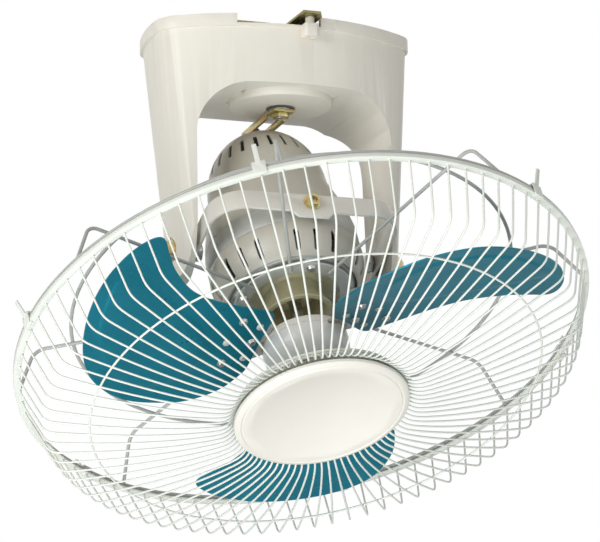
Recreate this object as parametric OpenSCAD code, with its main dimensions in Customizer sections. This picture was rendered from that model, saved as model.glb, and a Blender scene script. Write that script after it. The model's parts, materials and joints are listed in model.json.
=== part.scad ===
// Ceiling orbit fan. A moulded housing hangs from a steel bracket on the ceiling. Between its
// two legs a gimbal ring carries the fan head, so the head can lean to every side. A slow
// gearmotor above the arch turns a crank, whose socket leads the tail of the motor round.
// Lengths are millimetres, +Z is up, and the front of the housing faces -Y.
// The origin is the middle of the face that meets the ceiling.

/* [Housing] */
// Width across the ceiling rim
housing_w = 204; // [190:1:230]
// From the middle of the ceiling face to the rim at the front
housing_front = 51; // [46:1:60]
// From the middle of the ceiling face to the back of the rim
housing_back = 66; // [60:1:80]
// Radius of the gently bulging front
front_arc_r = 170; // [150:5:240]
// Radius of the bulging sides at the ceiling
side_arc_r = 180; // [150:5:240]
// Radius of the bulging sides at the pivot
leg_arc_r = 60; // [50:5:90]
// Front of the legs at the pivot, measured as for the rim
leg_front = 49; // [46:1:54]
// Corner radius of the outline at the ceiling
rim_corner_r = 22; // [15:1:30]
// Corner radius of the outline at the leg tips
leg_corner_r = 8; // [4:1:10]
// Thickness of the moulded walls
wall_t = 3; // [2.4:0.1:3.6]
// Height of the raised rim at the ceiling
lip_h = 9.5; // [6:0.5:12]
// How far the raised rim stands out
lip_out = 1.6; // [0.8:0.1:2.5]
// Thickness of a leg at its pivot
leg_t = 12; // [9:0.5:14]
// Radius of the round leg ends
leg_end_r = 25.5; // [22:0.5:26]
// Radius of the flare behind each leg
flare_r = 60; // [45:1:70]
// How much further back each leg reaches at the foot of its flare
flare_step = 4.5; // [2:0.5:8]
// From the ceiling to the underside of the arch
soffit_depth = 53; // [48:1:62]
// Radius of the upper corners of the arch
arch_corner_r = 38; // [25:1:50]
// Radius of the round boss under the arch
boss_r = 40; // [30:1:44]
// How far the round boss stands down
boss_h = 6; // [5:0.5:9]
// Width of the notch in the front of the rim
notch_w = 65; // [50:1:75]
// Depth of that notch
notch_h = 7.5; // [6:0.5:9]
// Middle of the notch, from the middle of the housing
notch_x = -18; // [-24:1:-12]

/* [Ceiling bracket] */
// Width of the bracket plate
bracket_w = 144; // [120:2:150]
// Depth of the bracket plate
bracket_d = 84; // [70:2:90]
// Thickness of the bracket's steel
bracket_t = 2; // [1.5:0.1:2.5]
// Distance between the ceiling screws, side to side
fixing_w = 90; // [70:2:100]
// Distance between the ceiling screws, front to back
fixing_d = 40; // [30:2:50]
// Diameter of the ceiling screw holes
fixing_hole_d = 5.5; // [4.5:0.1:6.5]
// Height of the side rails that carry the housing
rail_h = 10; // [8:0.5:12]
// Width of the foot of each side rail
rail_foot = 9; // [7:0.5:10]
// Width of the tongue over the lock lug
tongue_w = 18.5; // [14:0.5:22]
// How far the tongue reaches past the front wall
tongue_out = 16; // [12:1:20]
// Middle of the tongue and the lock lug, from the middle of the housing
tongue_x = 4; // [0:0.5:6]

/* [Orbit drive] */
// Width of the gear case
gearbox_w = 64; // [56:1:72]
// Depth of the gear case
gearbox_d = 50; // [44:1:56]
// Height of the gear case
gearbox_h = 20; // [16:1:22]
// Diameter of the slow motor
slow_motor_d = 50; // [40:1:56]
// Height of the slow motor
slow_motor_h = 16; // [12:1:18]
// Diameter of the crank shaft
crank_shaft_d = 8; // [6:0.5:10]
// Thickness of the crank's steel
fork_t = 2; // [1.5:0.1:2.5]
// Height of each crank arm
fork_h = 5; // [4:0.5:6]
// Distance from the gimbal centre to the pin of the tail socket
fork_pin_at = 120; // [118:0.5:122]
// Radius of the tail socket
socket_r = 6.5; // [5.5:0.1:7]

/* [Gimbal] */
// How far the fan leans forward at rest, in degrees
rest_tilt = 25; // [15:1:25]
// How far the fan leans to the left at rest, in degrees
rest_side = -2; // [-8:1:8]
// Height of the gimbal strap
strap_h = 16; // [12:1:18]
// Thickness of the gimbal strap
strap_t = 2.5; // [2:0.1:3.5]
// Corner radius of the gimbal ring
ring_corner_r = 26; // [20:1:32]
// Space between motor and strap, at the sides
ring_side_gap = 14; // [12:0.5:18]
// Space between motor and strap, at front and back
ring_front_gap = 6.5; // [5.5:0.5:10]
// Space between the ring and each leg
leg_gap = 3.5; // [2.5:0.1:5]
// Diameter of the bolts through the legs
leg_bolt_d = 8; // [6:0.5:9]
// Diameter of the studs at front and back of the ring
ring_stud_d = 6; // [5:0.5:7]
// Radial running clearance of pivots and shafts
running_gap = 0.06; // [0.03:0.01:0.1]
// Gap between faces that turn past each other
face_gap = 0.3; // [0.2:0.05:0.5]

/* [Motor] */
// From the gimbal centre to the end of the rear cover
motor_rear = 105; // [98:1:108]
// Radius of the flat end of the rear cover
rear_end_r = 26; // [18:1:27]
// From the gimbal centre to the front edge of the front cover
motor_front = 36; // [34:0.5:37]
// Wall of the motor covers
cover_t = 2; // [1.6:0.1:2.4]
// Width of the pivot collar between the covers
collar_w = 16; // [14:1:18]
// Outer diameter of the stator stack
stator_d = 96; // [88:1:108]
// Wall of the pivot collar, from the stator stack to the outside of the covers
collar_wall = 11; // [8:0.5:13]
// Height of the stator stack
stator_h = 28; // [22:1:32]
// Diameter of the rotor core
rotor_d = 56; // [48:1:60]
// Air gap between stator and rotor core
air_gap = 0.4; // [0.3:0.05:0.8]
// Diameter of the motor shaft
motor_shaft_d = 10; // [8:0.5:12]
// Radius of the opening at the end of the flared neck
neck_r = 24; // [22:0.5:26]
// From the gimbal centre to the end of the neck
neck_end = 56; // [52:0.5:60]

/* [Guard] */
// From the gimbal centre to the plane of the guard rim
rim_ahead = 75; // [72:0.5:80]
// Space between the blade tips and the guard rim
tip_gap = 14; // [8:0.5:16]
// Width of the rim band, seen from the front
rim_w = 5.5; // [4.5:0.5:8]
// Thickness of the rim band
rim_t = 1.8; // [1.4:0.1:2.2]
// Diameter of the rear guard's own rim wire
rear_rim_d = 3.4; // [3:0.1:4.4]
// Diameter of the rear struts
strut_d = 2.8; // [2.4:0.1:3.6]
// Number of rear struts
strut_count = 8; // [6:1:10]
// Radius at which the rear struts bend forward
strut_bend_at = 199; // [190:1:205]
// From the gimbal centre to the bend of the rear struts
strut_bend_ahead = 37; // [36:0.5:41]
// From the gimbal centre to the inner ends of the rear struts
strut_root_ahead = 42; // [41:0.5:44]
// Radius of the ring wire of the rear guard
rear_ring_r = 169.5; // [140:1:180]
// Diameter of the front wires
wire_d = 1.6; // [1.4:0.1:2.2]
// Number of front wires
wire_count = 88; // [60:2:96]
// Height of the front wires over the rim plane, where they leave the cap
wire_top = 69.5; // [66:0.5:74]
// How far the front wires fall from there to the outer bend
wire_fall = 24; // [18:0.5:28]
// Radius of the front guard's middle ring
front_ring_r = 170.8; // [140:1:180]
// Radius of the centre cap
cap_r = 66.5; // [60:0.5:72]
// Thickness of the centre cap's edge
cap_edge = 4; // [3:0.5:5]
// Number of guard clips
clip_count = 6; // [4:1:8]
// Width of each guard clip
clip_w = 10; // [8:1:14]

/* [Rotor] */
// Diameter swept by the blade tips
sweep_d = 400; // [390:1:412]
// Radius at which the blades begin
blade_root_r = 38; // [36:0.5:42]
// Number of blades
blade_count = 3; // [2:1:4]
// Angle of the blades to the plane of rotation, in degrees
blade_pitch = 12; // [8:0.5:14]
// Forward lean of the blades toward their tips, in degrees
blade_lean = 5.5; // [3:0.5:6.5]
// Thickness of the blade metal
blade_t = 1.2; // [0.9:0.1:1.6]
// Height of the pressed rib in each blade
rib_h = 1.6; // [0.8:0.1:2.5]
// Radius of the hub
hub_r = 33; // [31:0.5:34.5]
// From the rim plane to the rear edge of the hub
hub_rear = 2.5; // [1.5:0.5:3.5]
// From the rim plane to the top of the hub's dome
hub_top = 34; // [30:0.5:38]
// Thickness of the hub's walls
hub_t = 2.2; // [1.8:0.1:3]

/* [Hidden] */
$fn = 72;

eps = 0.01;
far = 400;
cream = "#EEE6D6";
zinc = "#C9B48A";
steel = "#B9BCBE";
cast = "#C6C8C2";
wire_white = "#E4E7DC";
teal = "#257E93";

// The crank's stack under the boss, from the ceiling down.
bush_flange_t = 1;
washer_t = 1;
crank_nut_h = 3.5;
shaft_end = 0.5;
swing_gap = 1.5;
tail_reach = motor_rear + 3.5;
crank_washer_z = -(soffit_depth + boss_h + bush_flange_t + face_gap);
crank_bridge_z = crank_washer_z - washer_t;
crank_nut_z = crank_bridge_z - fork_t;
crank_low_z = crank_nut_z - crank_nut_h - shaft_end;
gimbal_drop = tail_reach + swing_gap - crank_low_z;

// The direction in which the tail leans at rest, as seen from above and from the side.
tail_lean = acos(cos(rest_side) * cos(rest_tilt));
tail_turn = atan2(cos(rest_side) * sin(rest_tilt), sin(rest_side)) - 90;

motor_r = stator_d / 2 + collar_wall;
ring_half_w = motor_r + ring_side_gap + strap_t;
ring_half_d = motor_r + ring_front_gap + strap_t;
arch_half_w = ring_half_w + leg_gap;
leg_out = arch_half_w + leg_t;
blade_tip_r = sweep_d / 2;
rim_in = blade_tip_r + tip_gap;
rim_out = rim_in + rim_w;

// Frames. Everything on the head is drawn with +Z along the air stream.
module at_gimbal() { translate([0, 0, -gimbal_drop]) children(); }
module in_ring() { at_gimbal() rotate([-rest_tilt, 0, 0]) children(); }
module along_fan() { in_ring() rotate([180, rest_side, 0]) children(); }
module at_rim() { along_fan() translate([0, 0, rim_ahead]) children(); }
module in_crank() { rotate([0, 0, tail_turn]) children(); }
module both_sides() { for (side = [0, 1]) mirror([side, 0, 0]) children(); }
module around(count, first = 0) {
    for (i = [0 : count - 1]) rotate([0, 0, first + 360 * i / count]) children();
}

// A round tube or ring of rectangular section.
module ring_of(outer, inner, height) {
    difference() {
        cylinder(r = outer, h = height);
        translate([0, 0, -1]) cylinder(r = inner, h = height + 2);
    }
}
// A circular wire.
module hoop(radius, wire) { rotate_extrude($fn = 144) translate([radius, 0]) circle(d = wire, $fn = 24); }
// A hexagon nut or bolt head, across flats.
module hex(flats, height) { cylinder(d = flats / cos(30), h = height, $fn = 6); }
// A rectangle with round corners, centred.
module round_rect(w, d, r) {
    square([w - 2 * r, d], center = true);
    square([w, d - 2 * r], center = true);
    for (x = [-1, 1], y = [-1, 1]) translate([x * (w / 2 - r), y * (d / 2 - r)]) circle(r = r);
}
// Wires are drawn from a path of [radius, height] points in a plane through the fan's axis.
// The corner of a path is rounded by a fan of points on an arc.
function rounded_corner(from, corner, to, bend_r, steps) = let (
    u = (corner - from) / norm(corner - from), w = (to - corner) / norm(to - corner),
    turn = acos(u * w), side = sign(u[0] * w[1] - u[1] * w[0]),
    start = corner - bend_r * tan(turn / 2) * u, out = side * bend_r * [-u[1], u[0]])
    [for (i = [0 : steps]) let (t = side * turn * i / steps)
        start + out - [out[0] * cos(t) - out[1] * sin(t), out[0] * sin(t) + out[1] * cos(t)]];
// The direction across the wire at point k of its path, in the plane of the path.
function path_normal(p, k) = let (a = p[max(k - 1, 0)], b = p[min(k + 1, len(p) - 1)], u = (b - a) / norm(b - a))
    [-u[1], u[0]];
function wire_ring(p, k, angle, d, sides) = [for (i = [0 : sides - 1])
    let (t = 45 + 360 * i / sides, n = path_normal(p, k), half = d / 2 / sqrt(sinc_of(sides)),
        r = p[k][0] + half * cos(t) * n[0], side = half * sin(t))
    [r * cos(angle) - side * sin(angle), r * sin(angle) + side * cos(angle), p[k][1] + half * cos(t) * n[1]]];
// A section with few sides has the same area as the round wire it stands for.
function sinc_of(sides) = sin(360 / sides) / (2 * PI / sides);
function wire_faces(rings, base, sides) = concat(
    [for (k = [0 : rings - 2], i = [0 : sides - 1]) let (a = base + k * sides, j = (i + 1) % sides)
        [a + i, a + j, a + sides + j, a + sides + i]],
    [[for (i = [sides - 1 : -1 : 0]) base + i], [for (i = [0 : sides - 1]) base + (rings - 1) * sides + i]]);
// Wires of one path, evenly spaced round the axis.
module spread_wires(p, d, sides, count, first) {
    polyhedron(
        points = [for (w = [0 : count - 1], k = [0 : len(p) - 1])
            each wire_ring(p, k, first + w * 360 / count, d, sides)],
        faces = [for (w = [0 : count - 1]) each wire_faces(len(p), w * len(p) * sides, sides)],
        convexity = 10);
}

// Housing. Its outline is lofted from the ceiling down to the tips of the legs.
leg_tip_z = -(gimbal_drop + leg_end_r);
soffit_z = -soffit_depth;
boss_z = soffit_z - boss_h;
flare_z = soffit_z - flare_r;
flare_foot = leg_end_r + flare_step;

// The loft is a straight line in every direction, so a depth z gives a share of the change.
function lofted(top, at_pivot, z) = top + (at_pivot - top) * -z / gimbal_drop;

side_steps = 12;
module outline_at(z, inset) {
    half_w = lofted(housing_w / 2, leg_out, z) - inset;
    front = lofted(housing_front, leg_front, z) - inset;
    back = lofted(housing_back, housing_back - 6, z) - inset;
    bulge_r = lofted(side_arc_r, leg_arc_r, z);
    side = [for (i = [0 : side_steps]) let (y = -front + (front + back) * i / side_steps)
        [half_w - y * y / 2 / bulge_r, y]];
    corner = max(1, lofted(rim_corner_r, leg_corner_r, z) - inset);
    offset(r = corner, $fn = 40) offset(delta = -corner) intersection() {
        polygon(concat(side, [for (i = [side_steps : -1 : 0]) [-side[i][0], side[i][1]]]));
        translate([0, front_arc_r - inset - front]) circle(r = front_arc_r - inset, $fn = 120);
    }
}
module lofted_blank(inset, top) {
    hull() for (z = [top - eps, leg_tip_z])
        translate([0, 0, z]) linear_extrude(height = eps) outline_at(z, inset);
}
// Seen from the side: deep under the ceiling, flared down to legs with round ends.
module side_shape(inset) {
    difference() {
        union() {
            translate([-far / 2, flare_z]) square([far, far]);
            polygon([[-leg_end_r + inset, -gimbal_drop], [leg_end_r - inset, -gimbal_drop],
                [flare_foot - inset, flare_z + eps], [-leg_end_r - 14 + inset, flare_z + eps]]);
            translate([0, -gimbal_drop]) circle(r = leg_end_r - inset, $fn = 96);
        }
        translate([flare_foot + flare_r, flare_z]) circle(r = flare_r + inset, $fn = 144);
        translate([flare_foot + flare_r, flare_z - 1]) square([far, flare_r + inset + 1]);
    }
}
// Seen from the front: the arch between the legs.
module arch_shape(grow) {
    half = arch_half_w + grow;
    top = soffit_z + grow;
    r = arch_corner_r + grow;
    translate([-half, -far]) square([2 * half, far + top - r]);
    translate([-half + r, top - r - 1]) square([2 * (half - r), r + 1]);
    for (x = [-1, 1]) translate([x * (half - r), top - r]) circle(r = r, $fn = 144);
}
module across(height) { rotate([90, 0, 90]) linear_extrude(height = height, center = true) children(); }
module through() { rotate([90, 0, 0]) linear_extrude(height = far, center = true) children(); }

pivot_boss_r = 11;
nut_seat = leg_out - 1.5;
rail_gap = 0.2;
rib_t = 2.4;
rib_up = 78;
lug_w = 11;
lug_h = 10;
lug_out = 10;
lug_root = 1.5;
lug_fit = 0.05;
lug_hole_d = 3.4;
lug_hole_y = -housing_front - lug_out / 2 + 0.25;
lug_tube_r = 3.5;
lug_tube_top = -bracket_t - face_gap;
above = 5;

module housing_body() {
    difference() {
        intersection() {
            union() {
                lofted_blank(0, 0);
                translate([0, 0, -lip_h]) linear_extrude(height = lip_h)
                    offset(delta = lip_out) outline_at(0, 0);
            }
            across(far) side_shape(0);
        }
        through() arch_shape(0);
        difference() {
            intersection() {
                lofted_blank(wall_t, above);
                across(far) side_shape(wall_t);
            }
            through() arch_shape(wall_t);
        }
    }
    translate([0, 0, boss_z]) soffit_boss();
    intersection() {
        both_sides() {
            translate([arch_half_w, 0, -gimbal_drop]) rotate([0, 90, 0])
                cylinder(r = pivot_boss_r, h = leg_t);
            translate([arch_half_w + 1, -rib_t / 2, -gimbal_drop]) cube([far, rib_t, rib_up]);
            housing_rail();
        }
        lofted_blank(wall_t / 2, 0);
    }
}
module housing() {
    color(cream) difference() {
        housing_body();
        translate([notch_x - notch_w / 2, -far / 2, -notch_h]) cube([notch_w, far / 2, far]);
        lug_block(lug_fit);
        translate([0, 0, boss_z - 1]) cylinder(r = soffit_bush_r, h = far);
        both_sides() translate([arch_half_w - 1, 0, -gimbal_drop]) rotate([0, 90, 0])
            cylinder(d = leg_bolt_d, h = leg_t + 10);
        both_sides() translate([nut_seat, 0, -gimbal_drop]) rotate([0, 90, 0])
            cylinder(r = pivot_boss_r - 1, h = 20);
        for (x = [-1, 1], y = [-1, 1]) translate([x * gear_screw_x, y * gear_screw_y, soffit_z - 1])
            cylinder(d = 3, h = wall_t + 2, $fn = 24);
    }
}
// The round boss keeps its foot inside the soffit, so the boss and the soffit are one wall.
soffit_bush_r = crank_shaft_d / 2 + 4;
module soffit_boss() {
    difference() {
        rotate_extrude($fn = 144) polygon([[0, 0], [boss_r - 3, 0], [boss_r - 1.2, 0.6],
            [boss_r - 0.2, 2.4], [boss_r, 4], [boss_r, boss_h + wall_t], [0, boss_h + wall_t]]);
        translate([0, 0, wall_t]) rotate_extrude($fn = 144)
            polygon([[soffit_bush_r + 6, 0], [boss_r - wall_t, 0], [boss_r - wall_t, boss_h + wall_t],
                [soffit_bush_r + 6, boss_h + wall_t]]);
    }
}
// Rails inside the side walls hang on the feet of the bracket.
module housing_rail() {
    translate([bracket_w / 2 + rail_gap + 1.5, rail_y + 6, -rail_h + bracket_t])
        cube([far, rail_l, 3]);
}
// The lug is let into the front wall under the tongue. Its tube meets the tongue's hole.
module lug_block(grow) {
    translate([tongue_x, -housing_front - (lug_out - lug_root) / 2, -notch_h - lug_h - grow])
        linear_extrude(height = lug_h + 2 * grow)
            offset(delta = grow) round_rect(lug_w, lug_out + lug_root, 2.5);
}
module lock_lug() {
    color(cream) difference() {
        union() {
            lug_block(0);
            translate([tongue_x, lug_hole_y, -notch_h - 1])
                cylinder(r = lug_tube_r, h = notch_h + 1 + lug_tube_top, $fn = 36);
        }
        translate([tongue_x, lug_hole_y, -lug_h - notch_h - 1])
            cylinder(d = lug_hole_d, h = lug_h + notch_h + 2, $fn = 24);
    }
}
// Bracket. A flat plate with side rails, a tongue over the lug and four screw holes.
tongue_cut = [4.4, 9.4];
tongue_hole_d = 7;
cable_hole_r = 16;
bracket_y = (housing_back - housing_front) / 2 + 6.5;
rail_y = bracket_y - bracket_d / 2 + 2;
rail_l = bracket_d - 8;
module ceiling_bracket() {
    tip = -housing_front - tongue_out;
    color(zinc) difference() {
        union() {
            translate([0, bracket_y, -bracket_t]) linear_extrude(height = bracket_t)
                round_rect(bracket_w, bracket_d, 6);
            both_sides() translate([bracket_w / 2 - bracket_t, rail_y, -rail_h]) {
                cube([bracket_t, rail_l, rail_h]);
                cube([rail_foot, rail_l, bracket_t]);
            }
            translate([tongue_x, 0, -bracket_t]) linear_extrude(height = bracket_t)
                polygon([[-tongue_w / 2, rail_y], [-tongue_w / 2, tip], [tongue_w / 2 - tongue_cut[0], tip],
                    [tongue_w / 2, tip + tongue_cut[1]], [tongue_w / 2, rail_y]]);
        }
        for (x = [-1, 1], y = [-1, 1]) translate([x * fixing_w / 2, y * fixing_d / 2, -bracket_t - 1])
            cylinder(d = fixing_hole_d, h = bracket_t + 2);
        translate([tongue_x, lug_hole_y, -far / 2]) cylinder(d = tongue_hole_d, h = far, $fn = 36);
        translate([0, bracket_y, -bracket_t - 1]) cylinder(r = cable_hole_r, h = bracket_t + 2);
    }
}

// Orbit drive. Gear case and slow motor stand inside the housing, over the soffit.
gear_foot_t = 3;
gear_screw_x = gearbox_w / 2 + 5;
gear_screw_y = gearbox_d / 2 - 8;
gear_shift_y = 8;
gearbox_z = soffit_z + wall_t;
module orbit_gearbox() {
    color(cast) difference() {
        union() {
            translate([0, 0, gearbox_z]) linear_extrude(height = gearbox_h)
                round_rect(gearbox_w, gearbox_d, 8);
            translate([0, 0, gearbox_z]) linear_extrude(height = gear_foot_t)
                round_rect(gearbox_w + 20, gearbox_d, 8);
        }
        translate([0, 0, gearbox_z - 1]) cylinder(r = crank_shaft_d / 2 + running_gap, h = gearbox_h - 2);
        for (x = [-1, 1], y = [-1, 1]) translate([x * gear_screw_x, y * gear_screw_y, gearbox_z - 1])
            cylinder(d = 3, h = gear_foot_t + 2, $fn = 24);
    }
}
module orbit_motor() {
    z = gearbox_z + gearbox_h;
    color(steel) translate([0, gear_shift_y, z]) {
        cylinder(d = slow_motor_d, h = slow_motor_h);
        translate([0, 0, slow_motor_h]) cylinder(r1 = 7, r2 = 6, h = 2);
    }
}
module gearbox_screws() {
    color(zinc) for (x = [-1, 1], y = [-1, 1])
        translate([x * gear_screw_x, y * gear_screw_y, soffit_z + 0.5]) {
            cylinder(d = 3, h = wall_t + gear_foot_t - 0.5, $fn = 24);
            translate([0, 0, wall_t + gear_foot_t - 0.5]) cylinder(r1 = 3, r2 = 2.2, h = 2, $fn = 36);
        }
}
terminal_at = [58, housing_back - 14, soffit_z + wall_t];
module terminal_block() {
    color("#E9E7E0") translate(terminal_at) difference() {
        translate([0, 0, 5]) cube([24, 12, 10], center = true);
        for (x = [-8, 0, 8]) translate([x, 0, 3]) cylinder(d = 4.5, h = 10, $fn = 36);
    }
}
module soffit_bush() {
    inner = crank_shaft_d / 2 + running_gap;
    color(zinc) {
        translate([0, 0, boss_z - bush_flange_t]) ring_of(soffit_bush_r + 3, inner, bush_flange_t);
        translate([0, 0, boss_z]) ring_of(soffit_bush_r, inner, boss_h + wall_t);
    }
}

// Leg pivots. Each bolt has its head inside the ring and its nut outside the leg.
bush_wall = 2;
strap_in_x = ring_half_w - strap_t;
bolt_head_h = 4.5;
leg_nut_h = 6;
bush_in_x = strap_in_x - 1.2;
leg_bolt_in = bush_in_x - face_gap - bolt_head_h;
module leg_bolts() {
    color(zinc) both_sides() translate([leg_bolt_in, 0, -gimbal_drop]) rotate([0, 90, 0]) {
        rotate([0, 0, 30]) hex(leg_bolt_d + 5, bolt_head_h);
        cylinder(d = leg_bolt_d, h = nut_seat + leg_nut_h + 2.5 - leg_bolt_in);
    }
}
module leg_nuts() {
    color(zinc) both_sides() translate([nut_seat, 0, -gimbal_drop]) rotate([0, 90, 0]) difference() {
        union() {
            cylinder(d = leg_bolt_d + 9.5, h = 1.2);
            hex(leg_bolt_d + 5, leg_nut_h);
        }
        translate([0, 0, -1]) cylinder(d = leg_bolt_d, h = leg_nut_h + 2);
    }
}

// Crank. Shaft, washer, fork and nut turn together and lead the tail socket round.
module orbit_shaft() {
    top = gearbox_z + gearbox_h - 5;
    color(steel) translate([0, 0, crank_low_z]) cylinder(d = crank_shaft_d, h = top - crank_low_z);
}
module crank_washer() {
    color(zinc) translate([0, 0, crank_bridge_z])
        ring_of(crank_shaft_d / 2 + 5, crank_shaft_d / 2, washer_t);
}
module crank_nut() {
    color(zinc) translate([0, 0, crank_nut_z - crank_nut_h]) difference() {
        hex(crank_shaft_d + 4, crank_nut_h);
        translate([0, 0, -1]) cylinder(d = crank_shaft_d, h = crank_nut_h + 2);
    }
}
fork_pin_r = 1.5;
fork_half = socket_r + 0.1;
fork_pin_y = fork_pin_at * sin(tail_lean);
fork_pin_z = fork_pin_at * cos(tail_lean) - gimbal_drop;
module crank_fork() {
    arm_y = crank_shaft_d / 2 + 5;
    bridge_half = fork_half + fork_t;
    color(zinc) in_crank() difference() {
        union() {
            translate([-bridge_half, -arm_y + 1, crank_nut_z]) cube([2 * bridge_half, 2 * arm_y, fork_t]);
            for (x = [-bridge_half, fork_half]) translate([x, 0, 0]) rotate([90, 0, 90])
                linear_extrude(height = fork_t) {
                    polygon([[arm_y, crank_bridge_z], [arm_y, crank_bridge_z - fork_h],
                        [fork_pin_y - 1, fork_pin_z - fork_h / 2], [fork_pin_y + 1, fork_pin_z + fork_h / 2],
                        [arm_y + 6, crank_bridge_z]]);
                    translate([fork_pin_y, fork_pin_z]) circle(d = fork_h + 0.6, $fn = 36);
                }
        }
        translate([0, 0, crank_nut_z - 1]) cylinder(d = crank_shaft_d, h = fork_t + 2);
        translate([-far / 2, fork_pin_y, fork_pin_z]) rotate([0, 90, 0])
            cylinder(r = fork_pin_r, h = far, $fn = 36);
    }
}
module fork_pin() {
    half = fork_half + fork_t + 0.8;
    color(steel) in_crank() translate([-half, fork_pin_y, fork_pin_z]) rotate([0, 90, 0])
        cylinder(r = fork_pin_r, h = 2 * half, $fn = 36);
}
// The socket is a cone toward the motor, bored for the tail pin.
socket_tip = tail_reach + swing_gap + 1;
module tail_socket() {
    shoulder = fork_pin_at - 3;
    color("#8E9294") in_crank() at_gimbal() rotate([-tail_lean, 0, 0]) difference() {
        rotate_extrude($fn = 72) polygon([[0, socket_tip], [tail_pin_r + 1.4, socket_tip],
            [socket_r, shoulder], [socket_r, fork_pin_at + 4], [socket_r - 1.5, fork_pin_at + 5.5],
            [0, fork_pin_at + 5.5]]);
        translate([0, 0, socket_tip - 1]) cylinder(r = tail_pin_r + 0.2, h = 4, $fn = 48);
        translate([-far / 2, 0, fork_pin_at]) rotate([0, 90, 0]) cylinder(r = fork_pin_r, h = far, $fn = 36);
    }
}

// Gimbal ring. A strap bent into a rounded rectangle, with wider ends where the studs pass.
tab_w = 28;
tab_drop = 5;
module gimbal_ring() {
    color(cream) in_ring() difference() {
        union() {
            translate([0, 0, -strap_h / 2]) linear_extrude(height = strap_h)
                round_rect(2 * ring_half_w, 2 * ring_half_d, ring_corner_r);
            for (end = [-1, 1]) translate([0, end * ring_half_d, 0]) rotate([90 * end, 0, 0])
                linear_extrude(height = strap_t) polygon([[-tab_w / 2 - 4, end * -strap_h / 2 + end],
                    [-tab_w / 2 + 2, end * (-strap_h / 2 - tab_drop)],
                    [tab_w / 2 - 2, end * (-strap_h / 2 - tab_drop)],
                    [tab_w / 2 + 4, end * -strap_h / 2 + end]]);
        }
        translate([0, 0, -strap_h]) linear_extrude(height = 2 * strap_h)
            round_rect(2 * ring_half_w - 2 * strap_t, 2 * ring_half_d - 2 * strap_t,
                ring_corner_r - strap_t);
        rotate([0, 90, 0]) cylinder(r = leg_bolt_d / 2 + bush_wall, h = far, center = true);
        rotate([90, 0, 0]) cylinder(d = ring_stud_d, h = far, center = true);
    }
}
module leg_bushes() {
    inner = leg_bolt_d / 2 + running_gap;
    outer = leg_bolt_d / 2 + bush_wall;
    color("#6E6A63") in_ring() both_sides() rotate([0, 90, 0]) {
        translate([0, 0, bush_in_x]) ring_of(outer, inner, ring_half_w - bush_in_x);
        translate([0, 0, ring_half_w]) ring_of(outer + 3, inner, leg_gap - face_gap);
    }
}
stud_in = motor_r - 7;
stud_out = ring_half_d + 2.5;
collar_boss_y = motor_r + ring_front_gap - face_gap - 1.5;
module ring_studs() {
    color(zinc) in_ring() for (end = [0, 180]) rotate([0, 0, end]) translate([0, stud_in, 0])
        rotate([-90, 0, 0]) {
            cylinder(d = ring_stud_d, h = stud_out - stud_in);
            translate([0, 0, collar_boss_y + face_gap - stud_in])
                cylinder(d = ring_stud_d + 5, h = ring_half_d - strap_t - collar_boss_y - face_gap);
        }
}
module ring_nuts() {
    color(zinc) in_ring() for (end = [0, 180]) rotate([0, 0, end]) translate([0, ring_half_d, 0])
        rotate([-90, 0, 0]) difference() {
            union() {
                cylinder(d = ring_stud_d + 7, h = 1);
                hex(ring_stud_d + 4, 5.2);
            }
            translate([0, 0, -1]) cylinder(d = ring_stud_d, h = 8);
        }
}

// Motor. Covers are thin shells turned about the fan's axis, with rows of vent slots.
dome_from = 54;
dome_r = motor_r - 12;
dome_power = 2.2;
dome_end = dome_from + (motor_rear - dome_from) / pow(1 - pow(rear_end_r / dome_r, dome_power), 1 / dome_power);
function dome_radius(s) = dome_r * pow(1 - pow((s - dome_from) / (dome_end - dome_from), dome_power),
    1 / dome_power);
dome_step = (motor_rear - dome_from) / 12;
function rear_profile(inset) = concat(
    [[motor_r - inset, -collar_w / 2 - 0.2]],
    [for (i = [1 : 5]) let (t = i / 5)
        [motor_r - inset - 12 * pow(t, 1.3), -collar_w / 2 - (dome_from - collar_w / 2) * t]],
    [for (i = [1 : 12]) [dome_radius(dome_from + i * dome_step) - inset,
        -dome_from - i * dome_step + (i == 12 ? inset : 0)]]);
slot_w = 3;
rear_vent_at = motor_rear - 15;
vent_pitch = 15;
module boss_ways() {
    for (end = [-90, 90]) rotate([end, 0, 0]) translate([0, 0, motor_r / 2])
        cylinder(r = collar_boss_r + face_gap, h = motor_r);
}
module motor_rear_cover() {
    color(cream) along_fan() difference() {
        rotate_extrude($fn = 144) polygon(concat([[0, -collar_w / 2 - 0.2]], rear_profile(0),
            [[0, -motor_rear]]));
        rotate_extrude($fn = 144) polygon(concat([[0, -collar_w / 2 + 1], [motor_r - cover_t, -collar_w / 2 + 1]],
            rear_profile(cover_t), [[0, -motor_rear + cover_t]]));
        around(24, 70) translate([rear_end_r + 2, -slot_w / 2, -rear_vent_at]) cube([30, slot_w, 14]);
        translate([0, 0, -motor_rear - 1]) cylinder(r = tail_pin_r + 2, h = cover_t + 2, $fn = 48);
        boss_ways();
    }
}
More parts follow.
